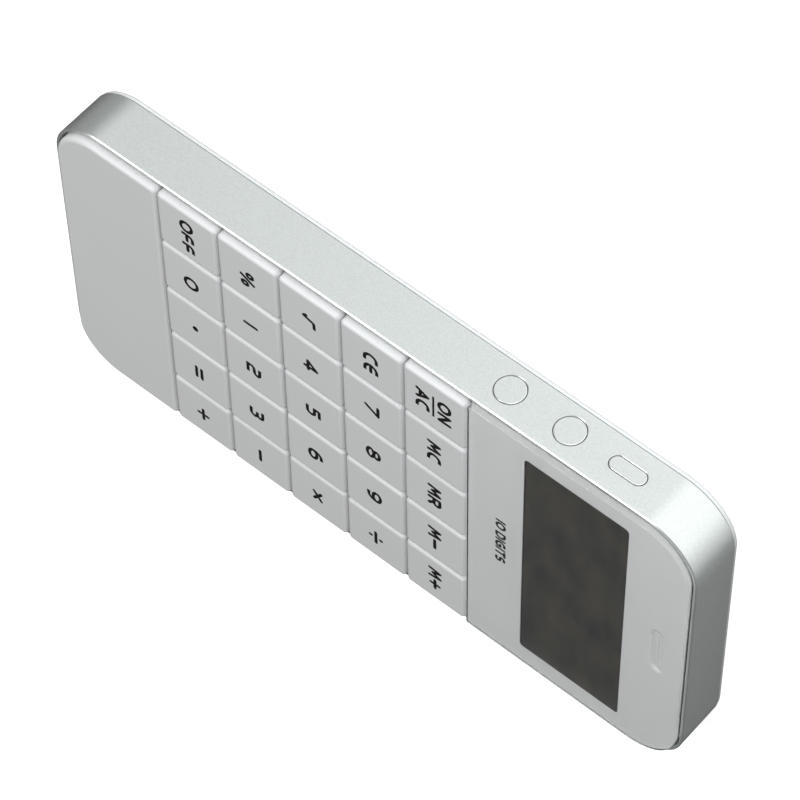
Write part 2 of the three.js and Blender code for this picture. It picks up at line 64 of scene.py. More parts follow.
CORNER = 9.1          # plan radius of the case's corners
COVER_INSET = 0.12
COVER_ROUND = 0.6
COVER_LIP = (1.7, 2.7)
LIP_TOP = 2.6


def box_mm(node):
    """The lowest and highest corner of a CAD node, in millimetres."""
    low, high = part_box(node)
    return low / MM, high / MM


frame_low, frame_high = box_mm("middle_frame")
HALF_WIDTH = frame_high.x
HALF_LENGTH = frame_high.y


def ring(x0, x1, y0, y1, low_radius, high_radius, z, steps=16):
    """A rounded rectangle at height z, with its own corner radius at the low-Y and high-Y ends."""
    corners = (
        (x1 - high_radius, y1 - high_radius, high_radius, 0),
        (x0 + high_radius, y1 - high_radius, high_radius, 90),
        (x0 + low_radius, y0 + low_radius, low_radius, 180),
        (x1 - low_radius, y0 + low_radius, low_radius, 270),
    )
    points = []
    for cx, cy, radius, start in corners:
        for i in range(steps + 1):
            angle = math.radians(start + 90 * i / steps)
            points.append((cx + radius * math.cos(angle), cy + radius * math.sin(angle), z))
    return points


def case_ring(inset, z, steps=24):
    """The case's outline, a distance inside its outer wall."""
    x, y, radius = HALF_WIDTH - inset, HALF_LENGTH - inset, CORNER - inset
    return ring(-x, x, -y, y, radius, radius, z, steps)


def loft(name, rings, closed=False):
    """A closed skin through rings of equal length. With closed, the last ring meets the first."""
    made = bmesh.new()
    rows = [[made.verts.new(p) for p in points] for points in rings]
    pairs = list(zip(rows, rows[1:]))
    if closed:
        pairs.append((rows[-1], rows[0]))
    else:
        made.faces.new(reversed(rows[0]))
        made.faces.new(rows[-1])
    for lower, upper in pairs:
        for i in range(len(lower)):
            j = (i + 1) % len(lower)
            made.faces.new((lower[i], lower[j], upper[j], upper[i]))
    bmesh.ops.recalc_face_normals(made, faces=made.faces)
    mesh = bpy.data.meshes.new(name)
    made.to_mesh(mesh)
    made.free()
    piece = bpy.data.objects.new(name, mesh)
    bpy.context.scene.collection.objects.link(piece)
    return piece


def block(x0, x1, y0, y1, z0, z1):
    """A cutter with square edges."""
    corner = 0.001
    return loft("cutter", [ring(x0, x1, y0, y1, corner, corner, z, 1) for z in (z0, z1)])


def disc_ring(x, y, radius, z, sides=32):
    """A circle at height z."""
    return [
        (x + radius * math.cos(math.tau * i / sides), y + radius * math.sin(math.tau * i / sides), z)
        for i in range(sides)
    ]


def rod(x, y, radius, z0, z1):
    """An upright round bar."""
    return loft("cutter", [disc_ring(x, y, radius, z) for z in (z0, z1)])


def apply_modifiers(piece):
    """Turns a piece's modifiers into its own mesh."""
    evaluated = piece.evaluated_get(bpy.context.evaluated_depsgraph_get())
    mesh = bpy.data.meshes.new_from_object(evaluated)
    piece.modifiers.clear()
    piece.data = mesh


def join(piece, others, operation):
    """Cuts the other solids out of the piece, or adds them, and deletes them."""
    for other in others:
        step = piece.modifiers.new("step", "BOOLEAN")
        step.operation = operation
        step.solver = "EXACT"
        step.object = other
        bpy.context.view_layer.update()
        apply_modifiers(piece)
        bpy.data.objects.remove(other)


def finish_mesh(piece, name, material, smooth_angle=32):
    """Turns millimetres into metres and shades the curved faces smoothly."""
    piece.name = name
    piece.data.transform(Matrix.Scale(MM, 4))
    piece.data.name = name
    piece.data.shade_smooth()
    piece.data.set_sharp_from_angle(angle=math.radians(smooth_angle))
    piece.data.materials.clear()
    piece.data.materials.append(material)


def add_node(tree, kind, inputs=None, **settings):
    """A shader node with its settings, its plain input values and its links from other sockets."""
    node = tree.nodes.new(kind)
    for key, value in settings.items():
        setattr(node, key, value)
    for socket, value in (inputs or {}).items():
        if isinstance(value, bpy.types.NodeSocket):
            tree.links.new(value, node.inputs[socket])
        else:
            node.inputs[socket].default_value = value
    return node


def new_group(name, inputs, outputs):
    """A shader node group: inputs and outputs are (name, socket type, default) and (name, socket type)."""
    tree = bpy.data.node_groups.new(name, "ShaderNodeTree")
    for label, kind, default in inputs:
        tree.interface.new_socket(label, in_out="INPUT", socket_type=kind).default_value = default
    for label, kind in outputs:
        tree.interface.new_socket(label, in_out="OUTPUT", socket_type=kind)
    source = tree.nodes.new("NodeGroupInput").outputs
    sink = tree.nodes.new("NodeGroupOutput").inputs
    return tree, source, sink


# Moulded plastic: a fine skin from the mould and broad, faint changes of shade.
moulded_grain, source, sink = new_group(
    "moulded_grain",
    [
        ("Colour", "NodeSocketColor", (0.8, 0.8, 0.8, 1)),
        ("Shade Spread", "NodeSocketFloat", 0.04),
        ("Roughness", "NodeSocketFloat", 0.35),
        ("Roughness Spread", "NodeSocketFloat", 0.1),
        ("Grain Scale", "NodeSocketFloat", 6000),
        ("Patch Scale", "NodeSocketFloat", 60),
    ],
    [("Colour", "NodeSocketColor"), ("Roughness", "NodeSocketFloat"), ("Height", "NodeSocketFloat")],
)
place = add_node(moulded_grain, "ShaderNodeTexCoord").outputs["Object"]
grain = add_node(moulded_grain, "ShaderNodeTexNoise", {
    "Vector": place, "Scale": source["Grain Scale"], "Detail": 3.0, "Roughness": 0.6,
}).outputs["Fac"]
patches = add_node(moulded_grain, "ShaderNodeTexNoise", {
    "Vector": place, "Scale": source["Patch Scale"], "Detail": 2.0,
}).outputs["Fac"]
both = add_node(moulded_grain, "ShaderNodeMath", {0: grain, 1: patches}, operation="ADD").outputs[0]
centred = add_node(moulded_grain, "ShaderNodeMath", {0: both, 1: 1.0}, operation="SUBTRACT").outputs[0]
shade = add_node(moulded_grain, "ShaderNodeMath", {
    0: centred, 1: source["Shade Spread"], 2: 1.0,
}, operation="MULTIPLY_ADD").outputs[0]
tinted = add_node(moulded_grain, "ShaderNodeHueSaturation", {
    "Color": source["Colour"], "Value": shade,
}).outputs["Color"]
rough = add_node(moulded_grain, "ShaderNodeMath", {
    0: centred, 1: source["Roughness Spread"], 2: source["Roughness"],
}, operation="MULTIPLY_ADD").outputs[0]
moulded_grain.links.new(tinted, sink["Colour"])
moulded_grain.links.new(rough, sink["Roughness"])
moulded_grain.links.new(grain, sink["Height"])


def new_material(name, **sockets):
    """A material with a Principled shader whose plain values are set on its own sockets."""
    material = bpy.data.materials.new(name)
    material.use_nodes = True
    tree = material.node_tree
    shader = tree.nodes["Principled BSDF"]
    for key, value in sockets.items():
        shader.inputs[key.replace("_", " ")].default_value = value
    return material, tree, shader


def moulded(name, colour, spread, roughness, roughness_spread, bump, grain_scale=6000.0, **sockets):
    """Moulded plastic or rubber: the grain group feeds the colour, the roughness and a bump."""
    material, tree, shader = new_material(name, **sockets)
    group = add_node(tree, "ShaderNodeGroup", node_tree=moulded_grain)
    group.inputs["Colour"].default_value = (*colour, 1)
    group.inputs["Shade Spread"].default_value = spread
    group.inputs["Roughness"].default_value = roughness
    group.inputs["Roughness Spread"].default_value = roughness_spread
    group.inputs["Grain Scale"].default_value = grain_scale
    raised = add_node(tree, "ShaderNodeBump", {
        "Height": group.outputs["Height"], "Strength": bump, "Distance": 0.02 * MM,
    })
    tree.links.new(group.outputs["Colour"], shader.inputs["Base Color"])
    tree.links.new(group.outputs["Roughness"], shader.inputs["Roughness"])
    tree.links.new(raised.outputs["Normal"], shader.inputs["Normal"])
    return material


white_shell = moulded(
    "white_shell", (0.84, 0.845, 0.85), 0.03, 0.2, 0.08, 0.15, Coat_Weight=0.3, Coat_Roughness=0.08,
)

_, door_high = box_mm("battery_door")
BAND_START = frame_low.z
ROUND_STEPS = 6
REVEAL_HEIGHT = 0.16      # thin groove where the plate meets the silver frame
REVEAL_DEPTH = 0.7
FACE_EASE = 0.05          # keeps the flat back face flat where the rounding starts


def back_plate(name, top, rings_above):
    """The rounded plate, from its back face up, with the rings that its top carries."""
    rings = [case_ring(COVER_INSET + COVER_ROUND + FACE_EASE, 0)]
    for i in range(ROUND_STEPS + 1):
        angle = math.radians(90 * i / ROUND_STEPS)
        inset = COVER_INSET + COVER_ROUND * (1 - math.sin(angle))
        rings.append(case_ring(inset, COVER_ROUND * (1 - math.cos(angle))))
    rings.append(case_ring(COVER_INSET, top - REVEAL_HEIGHT))
    rings.append(case_ring(COVER_INSET + REVEAL_DEPTH, top - REVEAL_HEIGHT))
    rings.append(case_ring(COVER_INSET + REVEAL_DEPTH, top))
    return loft(name, rings + rings_above)


cover = back_plate("back_cover_shell", BAND_START, [
    case_ring(COVER_LIP[0], BAND_START),
    case_ring(COVER_LIP[0], LIP_TOP),
    case_ring(COVER_LIP[1], LIP_TOP),
    case_ring(COVER_LIP[1], BAND_START),
])
DOOR_GAP = 0.15
DOOR_HALF = 17.0
RAIL_START = 0.5
rail_half = door_high.x + DOOR_GAP
panel_half = DOOR_HALF + DOOR_GAP
opening_end = door_high.y + DOOR_GAP
BEYOND = 5.0
join(cover, [
    block(-panel_half, panel_half, -HALF_LENGTH - BEYOND, opening_end, -1, LIP_TOP + 1),
    block(-rail_half, rail_half, -HALF_LENGTH - BEYOND, opening_end, RAIL_START, LIP_TOP + 1),
], "DIFFERENCE")
BOSS_RADIUS = 2.3
COVER_BOSS_TOP = 3.6
SCREW_POCKET = 1.9
SCREW_HOLE = 1.0
POCKET_TOP = 1.25
screw_centres = []
for i in range(4):
    low, high = box_mm(f"case_screw_{i + 1}")
    screw_centres.append(((low.x + high.x) / 2, (low.y + high.y) / 2))
join(cover, [rod(x, y, BOSS_RADIUS, BAND_START - 0.2, COVER_BOSS_TOP) for x, y in screw_centres], "UNION")
join(cover, [rod(x, y, SCREW_POCKET, -1, POCKET_TOP) for x, y in screw_centres], "DIFFERENCE")
join(cover, [rod(x, y, SCREW_HOLE, 0, COVER_BOSS_TOP + 1) for x, y in screw_centres], "DIFFERENCE")
finish_mesh(cover, "back_cover_shell", white_shell)
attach(cover, "root")
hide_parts("back_cover")

# ---- Battery door -------------------------------------------------------------------------------
# The hatch over the cell, moulded in the same white ABS. Tongues along its sides run in the cover,
# and it slides off towards the blank end; four grooves give the thumb its grip.
GRIP_COUNT = 4
GRIP_PITCH = 1.6
GRIP_HALF = (6.0, 0.35)
GRIP_FIRST = 7.85
GRIP_DEPTH = 0.25
GRIP_SLOPE = 0.1
door = back_plate("battery_door_panel", door_high.z, [])
join(door, [block(-DOOR_HALF, DOOR_HALF, -HALF_LENGTH - BEYOND, door_high.y, -1, BEYOND)], "INTERSECT")
RAIL_FACE = 1.2
RAIL_CLEARANCE = 0.05
join(door, [
    block(
        -door_high.x, door_high.x, -HALF_LENGTH + RAIL_FACE, door_high.y - 1,
        RAIL_START + RAIL_CLEARANCE, door_high.z,
    ),
], "UNION")
grooves = []
for i in range(GRIP_COUNT):
    y = door_high.y - GRIP_FIRST - i * GRIP_PITCH
    end = GRIP_HALF[1] - 0.01
    grooves.append(loft("cutter", [
        ring(
            -GRIP_HALF[0] - grow, GRIP_HALF[0] + grow, y - GRIP_HALF[1] - grow, y + GRIP_HALF[1] + grow,
            end + grow, end + grow, z, 6,
        )
        for z, grow in ((-GRIP_SLOPE, GRIP_SLOPE), (0.0, 0.0), (GRIP_DEPTH, -GRIP_SLOPE))
    ]))
join(door, grooves, "DIFFERENCE")
finish_mesh(door, "battery_door_panel", white_shell)
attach(door, "battery_door")
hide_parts("battery_door")

# ---- Screws -------------------------------------------------------------------------------------
# Zinc-plated steel screws with crossed recesses: four close the case and four hold the board.
# They are turned and rolled; fine straight streaks run through their finish.


def ranged(tree, value, low, high):
    """Maps a value from 0 to 1 onto low to high."""
    return add_node(tree, "ShaderNodeMapRange", {
        "Value": value, "To Min": low, "To Max": high,
    }).outputs["Result"]


def metal(name, colour, roughness, streak_scale, bump, **sockets):
    """Bare metal: fine directional streaks vary the roughness and the surface."""
    material, tree, shader = new_material(name, Metallic=1.0, **sockets)
    where = add_node(tree, "ShaderNodeTexCoord").outputs["Object"]
    stretched = add_node(tree, "ShaderNodeMapping", {
        "Vector": where, "Scale": (1.0, 0.08, 1.0),
    }).outputs["Vector"]
    streaks = add_node(tree, "ShaderNodeTexNoise", {
        "Vector": stretched, "Scale": streak_scale, "Detail": 4.0,
    }).outputs["Fac"]
    rough = ranged(tree, streaks, roughness * 0.7, roughness * 1.4)
    shade = ranged(tree, streaks, 0.85, 1.1)
    tinted = add_node(tree, "ShaderNodeHueSaturation", {
        "Color": (*colour, 1), "Value": shade,
    }).outputs["Color"]
    raised = add_node(tree, "ShaderNodeBump", {"Height": streaks, "Strength": bump, "Distance": 0.01 * MM})
    tree.links.new(tinted, shader.inputs["Base Color"])
    tree.links.new(rough, shader.inputs["Roughness"])
    tree.links.new(raised.outputs["Normal"], shader.inputs["Normal"])
    return material


def dress(node, material):
    """Gives a CAD node its finish."""
    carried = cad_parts[node]
    carried.data.materials.clear()
    carried.data.materials.append(material)


bare_steel = metal("bare_steel", (0.62, 0.62, 0.61), 0.3, 9000.0, 0.3)
for i in range(4):
    dress(f"case_screw_{i + 1}", bare_steel)
    dress(f"board_screw_{i + 1}", bare_steel)

# ---- Button cell and contacts -------------------------------------------------------------------
# An alkaline cell in a drawn nickel-plated can, and two nickel-plated spring leaves that press on
# its pole and its side and are soldered to the board.
contact_steel = metal("contact_steel", (0.72, 0.71, 0.66), 0.26, 14000.0, 0.25)
dress("button_cell", bare_steel)
for name in ("positive_contact", "negative_contact"):
    dress(name, contact_steel)

# ---- Circuit board and its parts ----------------------------------------------------------------
# Green solder-masked laminate with copper tracks under the mask, the calculator chip under a drop
# of black epoxy, and one small can capacitor.
board_laminate, tree, shader = new_material("board_laminate", Coat_Weight=0.4, Coat_Roughness=0.15)
where = add_node(tree, "ShaderNodeTexCoord").outputs["Object"]
tracks = add_node(tree, "ShaderNodeTexBrick", {
    "Vector": where, "Scale": 260.0, "Mortar Size": 0.03, "Mortar Smooth": 0.1,
    "Brick Width": 0.9, "Row Height": 0.35,
    "Color1": (0.02, 0.13, 0.05, 1), "Color2": (0.025, 0.15, 0.06, 1), "Mortar": (0.06, 0.27, 0.1, 1),
})
weave = add_node(tree, "ShaderNodeTexNoise", {"Vector": where, "Scale": 3500.0, "Detail": 2.0}).outputs["Fac"]
raised = add_node(tree, "ShaderNodeBump", {
    "Height": tracks.outputs["Fac"], "Strength": 0.4, "Distance": 0.03 * MM,
})
board_rough = ranged(tree, weave, 0.25, 0.5)
tree.links.new(tracks.outputs["Color"], shader.inputs["Base Color"])
tree.links.new(board_rough, shader.inputs["Roughness"])
tree.links.new(raised.outputs["Normal"], shader.inputs["Normal"])
dress("circuit_board", board_laminate)
dress("chip_blob", moulded("black_epoxy", (0.012, 0.012, 0.013), 0.3, 0.28, 0.2, 0.3, 2500.0))
dress("capacitor", bare_steel)

# ---- Silicone mat -------------------------------------------------------------------------------
# One soft grey silicone sheet with a low pad under each key, which closes the contact below it.
silicone = moulded("silicone", (0.46, 0.48, 0.5), 0.08, 0.7, 0.1, 0.5, 3000.0, Sheen_Weight=0.2)
dress("keypad_membrane", silicone)

# ---- Middle frame -------------------------------------------------------------------------------
# The band round the edge: moulded ABS sprayed with fine silver metallic paint under a thin clear
# coat. Its front rim carries a bright machined-looking chamfer; the side controls sit in pockets.
RIM_CHAMFER = 0.14
RIM_WALL = 0.5
RIM_STEP = 7.7
FRAME_WALL = 1.6
FLANGE_WALL = 2.4
FLANGE_TOP = 6.85
FLANGE_BOTTOM = 6.2
LOWER_EASE = 0.04
RIM = frame_high.z
band = loft("silver_band", [
    case_ring(inset, z) for inset, z in (
        (LOWER_EASE, BAND_START),
        (LOWER_EASE * 0.3, BAND_START + LOWER_EASE * 0.3),
        (0.0, BAND_START + LOWER_EASE),
        (0.0, BAND_START + LOWER_EASE + 0.05),
        (0.0, RIM - RIM_CHAMFER),
        (RIM_CHAMFER, RIM),
        (RIM_WALL, RIM),
        (RIM_WALL, RIM_STEP),
        (FRAME_WALL, RIM_STEP),
        (FRAME_WALL, FLANGE_TOP),
        (FLANGE_WALL, FLANGE_TOP),
        (FLANGE_WALL, FLANGE_BOTTOM),
        (FRAME_WALL, FLANGE_BOTTOM),
        (FRAME_WALL, BAND_START),
    )
], closed=True)


def wall_ring(y, z, half_y, half_z, x, steps=16):
    """A stadium or circle in the plane of the -X wall, centred at y, z."""
    radius = min(half_y, half_z) - 0.001
    return [(x, y + p[0], z + p[1]) for p in ring(-half_y, half_y, -half_z, half_z, radius, radius, 0, steps)]


WALL_FACE = frame_low.x
POCKET_DEPTH = 1.35
CONTROL_GAP = 0.12
POCKET_EASE = 0.07
side_controls = ("side_button_lower", "side_button_upper", "side_button_long")
pockets = []
for name in side_controls:
    low, high = box_mm(name)
    y, z = (low.y + high.y) / 2, (low.z + high.z) / 2
    half_y, half_z = (high.y - low.y) / 2 + CONTROL_GAP, (high.z - low.z) / 2 + CONTROL_GAP
    pockets.append(loft("cutter", [
        wall_ring(y, z, half_y + ease, half_z + ease, x)
        for x, ease in (
            (WALL_FACE - 1.0, POCKET_EASE),
            (WALL_FACE - 0.001, POCKET_EASE),
            (WALL_FACE + POCKET_EASE, 0.0),
            (WALL_FACE + POCKET_DEPTH, 0.0),
        )
    ]))
join(band, pockets, "DIFFERENCE")

# Metallic paint: each cell is one aluminium flake, with its own shade and a slight tilt.
metal_flake, source, sink = new_group(
    "metal_flake",
    [
        ("Colour", "NodeSocketColor", (0.7, 0.72, 0.71, 1)),
        ("Flake Scale", "NodeSocketFloat", 7000),
        ("Flake Spread", "NodeSocketFloat", 0.2),
        ("Roughness", "NodeSocketFloat", 0.35),
        ("Roughness Spread", "NodeSocketFloat", 0.1),
    ],
    [("Colour", "NodeSocketColor"), ("Roughness", "NodeSocketFloat"), ("Height", "NodeSocketFloat")],
)
place = add_node(metal_flake, "ShaderNodeTexCoord").outputs["Object"]
flakes = add_node(metal_flake, "ShaderNodeTexVoronoi", {"Vector": place, "Scale": source["Flake Scale"]})
tone = add_node(metal_flake, "ShaderNodeSeparateColor", {"Color": flakes.outputs["Color"]})
cloud = add_node(metal_flake, "ShaderNodeTexNoise", {
    "Vector": place, "Scale": 90.0, "Detail": 3.0,
}).outputs["Fac"]
speck = add_node(metal_flake, "ShaderNodeMath", {
    0: tone.outputs["Red"], 1: 0.5,
}, operation="SUBTRACT").outputs[0]
shade = add_node(metal_flake, "ShaderNodeMath", {
    0: speck, 1: source["Flake Spread"], 2: 1.0,
}, operation="MULTIPLY_ADD").outputs[0]
tinted = add_node(metal_flake, "ShaderNodeHueSaturation", {
    "Color": source["Colour"], "Value": shade,
}).outputs["Color"]
drift = add_node(metal_flake, "ShaderNodeMath", {0: cloud, 1: 0.5}, operation="SUBTRACT").outputs[0]
rough = add_node(metal_flake, "ShaderNodeMath", {
    0: drift, 1: source["Roughness Spread"], 2: source["Roughness"],
}, operation="MULTIPLY_ADD").outputs[0]
metal_flake.links.new(tinted, sink["Colour"])
metal_flake.links.new(rough, sink["Roughness"])
metal_flake.links.new(tone.outputs["Green"], sink["Height"])

silver_paint, tree, shader = new_material(
    "silver_paint", Metallic=0.72, Coat_Weight=0.25, Coat_Roughness=0.12,
)
flake = add_node(tree, "ShaderNodeGroup", node_tree=metal_flake)
flake.inputs["Colour"].default_value = (0.74, 0.77, 0.755, 1)
flake.inputs["Flake Spread"].default_value = 0.12
flake.inputs["Roughness"].default_value = 0.3
raised = add_node(tree, "ShaderNodeBump", {
    "Height": flake.outputs["Height"], "Strength": 0.1, "Distance": 0.01 * MM,
})
tree.links.new(flake.outputs["Colour"], shader.inputs["Base Color"])
tree.links.new(flake.outputs["Roughness"], shader.inputs["Roughness"])
tree.links.new(raised.outputs["Normal"], shader.inputs["Normal"])
finish_mesh(band, "silver_band", silver_paint, 30)
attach(band, "root")
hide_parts("middle_frame")

# ---- Side controls ------------------------------------------------------------------------------
# Two round and one long insert in the band, moulded and sprayed with it, flush with its face.
# Each has an eased edge and floats in its pocket on a hidden spring finger.
EASE_STEPS = 4
CONTROL_EASE = 0.1
for name in side_controls:
    low, high = box_mm(name)
    y, z = (low.y + high.y) / 2, (low.z + high.z) / 2
    half_y, half_z = (high.y - low.y) / 2, (high.z - low.z) / 2
    rings = [wall_ring(y, z, half_y - CONTROL_EASE - 0.1, half_z - CONTROL_EASE - 0.1, low.x)]
    for i in range(EASE_STEPS + 1):
        angle = math.radians(90 * i / EASE_STEPS)
        inset = CONTROL_EASE * (1 - math.sin(angle))
        depth = CONTROL_EASE * (1 - math.cos(angle))
        rings.append(wall_ring(y, z, half_y - inset, half_z - inset, low.x + depth))
    rings.append(wall_ring(y, z, half_y, half_z, high.x))
    insert = loft(name + "_insert", rings)
    finish_mesh(insert, name + "_insert", silver_paint, 50)
    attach(insert, name)
    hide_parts(name)

# ---- Chassis ------------------------------------------------------------------------------------
# The inner plate, matt white ABS, that guides the key stems and carries the lens and blank panel.
chassis_white = moulded("chassis_white", (0.62, 0.62, 0.62), 0.05, 0.5, 0.1, 0.3)
dress("front_chassis", chassis_white)

# ---- Display ------------------------------------------------------------------------------------
# A dark liquid-crystal glass with its polariser, a white reflector, the holder that lifts it to the
# lens, and the rubber connector with its stacked conducting layers.
display_glass, tree, shader = new_material("display_glass", Specular_IOR_Level=0.25)
where = add_node(tree, "ShaderNodeTexCoord").outputs["Object"]
slanted = add_node(tree, "ShaderNodeMapping", {
    "Vector": where, "Rotation": (0, 0, math.radians(18)), "Scale": (1.0, 2.2, 1.0),
}).outputs["Vector"]
mottle = add_node(tree, "ShaderNodeTexNoise", {
    "Vector": slanted, "Scale": 110.0, "Detail": 5.0, "Roughness": 0.62,
}).outputs["Fac"]
ramp = add_node(tree, "ShaderNodeValToRGB", {"Fac": mottle})
ramp.color_ramp.elements[0].position = 0.34
ramp.color_ramp.elements[0].color = (0.021, 0.021, 0.0215, 1)
ramp.color_ramp.elements[1].position = 0.66
ramp.color_ramp.elements[1].color = (0.055, 0.047, 0.038, 1)
fibre = add_node(tree, "ShaderNodeTexNoise", {"Vector": where, "Scale": 2500.0, "Detail": 2.0}).outputs["Fac"]
glass_rough = ranged(tree, fibre, 0.4, 0.6)
raised = add_node(tree, "ShaderNodeBump", {"Height": fibre, "Strength": 0.1, "Distance": 0.01 * MM})
tree.links.new(ramp.outputs["Color"], shader.inputs["Base Color"])
tree.links.new(glass_rough, shader.inputs["Roughness"])
tree.links.new(raised.outputs["Normal"], shader.inputs["Normal"])
dress("lcd_glass", display_glass)
dress("lcd_reflector", moulded("reflector_white", (0.75, 0.75, 0.74), 0.04, 0.6, 0.1, 0.2))
dress("lcd_holder", chassis_white)
dress("zebra_strip", moulded("connector_rubber", (0.06, 0.06, 0.07), 0.2, 0.75, 0.1, 0.5, 4000.0))

# ---- Keys ---------------------------------------------------------------------------------------
# Twenty-five separate caps of white ABS with a satin mould finish, nearly touching. Each has a
# rounded top edge and a square stem with two snap lips that hold it under the chassis plate.
KEY_CORNER = 0.8
KEY_FILLET = 0.7
CAP_START = 8.53        # clears the chassis plate at full press, however the cap leans
STEM_HALF = 3.1
STEM_LIFT = 0.08
LIP_HALF = (3.9, 1.2)
LIP_HEIGHT = 0.4
KEY_NAMES = (
    ("key_off", "key_0", "key_point", "key_equals", "key_plus"),
    ("key_percent", "key_1", "key_2", "key_3", "key_minus"),
    ("key_root", "key_4", "key_5", "key_6", "key_multiply"),
    ("key_ce", "key_7", "key_8", "key_9", "key_divide"),
    ("key_on", "key_mc", "key_mr", "key_m_minus", "key_m_plus"),
)


def pillow(x0, x1, y0, y1, low_radius, high_radius, z0, z1, fillet, steps=6, corner_steps=8):
    """The rings of a block whose top edge is rounded, lowest first."""
    def inner(inset, z):
        return ring(
            x0 + inset, x1 - inset, y0 + inset, y1 - inset,
            low_radius - inset, high_radius - inset, z, corner_steps,
        )

    ease = 0.06
    rings = [inner(0.0, z0)]
    for i in range(steps + 1):
        angle = math.radians(90 * i / steps)
        inset = fillet * (1 - math.cos(angle))
        z = z1 - fillet * (1 - math.sin(angle))
        rings.append(inner(inset, z))
    rings.append(inner(fillet + ease, z1))
    return rings


white_key = moulded("white_key", (0.80, 0.80, 0.805), 0.03, 0.36, 0.08, 0.25, 7000.0, Specular_IOR_Level=0.3)
key_low, key_high = box_mm("key_5")
cap_x, cap_y = (key_high.x - key_low.x) / 2, (key_high.y - key_low.y) / 2
KEY_TOP = key_high.z
key_model = loft("key_model", pillow(
    -cap_x, cap_x, -cap_y, cap_y, KEY_CORNER, KEY_CORNER, CAP_START, KEY_TOP, KEY_FILLET,
))
stem_low = key_low.z + STEM_LIFT
join(key_model, [
    block(-STEM_HALF, STEM_HALF, -STEM_HALF, STEM_HALF, stem_low, CAP_START + 0.3),
    block(-LIP_HALF[0], LIP_HALF[0], -LIP_HALF[1], LIP_HALF[1], stem_low, stem_low + LIP_HEIGHT),
], "UNION")
finish_mesh(key_model, "key_model", white_key)
key_mesh = key_model.data
bpy.data.objects.remove(key_model)
dice = random.Random(11)
TILT = 0.22           # degrees by which a cap may lean in its guide
DROP = 0.05           # millimetres by which it may sit low
key_objects = {}
for names in KEY_NAMES:
    for name in names:
        low, high = box_mm(name)
        centre = Vector(((low.x + high.x) / 2, (low.y + high.y) / 2, KEY_TOP)) * MM
        lean = [math.radians(dice.uniform(-TILT, TILT)) for _ in range(2)]
        drop = dice.uniform(0, DROP) * MM
        pivot = Matrix.Translation((0, 0, -KEY_TOP * MM))
        turned = Matrix.Rotation(lean[0], 4, "X") @ Matrix.Rotation(lean[1], 4, "Y")
        key = bpy.data.objects.new(name + "_cap", key_mesh.copy())
        bpy.context.scene.collection.objects.link(key)
        key.matrix_world = Matrix.Translation(centre - Vector((0, 0, drop))) @ turned @ pivot
        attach(key, name)
        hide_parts(name)
        key_objects[name] = key

# ---- Key legends --------------------------------------------------------------------------------
# Black pad-printed legends in a wide, round sans: each is a film of ink on the cap's top.
# Every letter is drawn as strokes, from lines and quarter rounds, in a cell one unit high.


def arc(cx, cy, rx, ry, start, end, steps=10):
    """Points round part of an ellipse, from one angle to another, in degrees."""
    return [
        (cx + rx * math.cos(math.radians(start + (end - start) * i / steps)),
         cy + ry * math.sin(math.radians(start + (end - start) * i / steps)))
        for i in range(steps + 1)
    ]


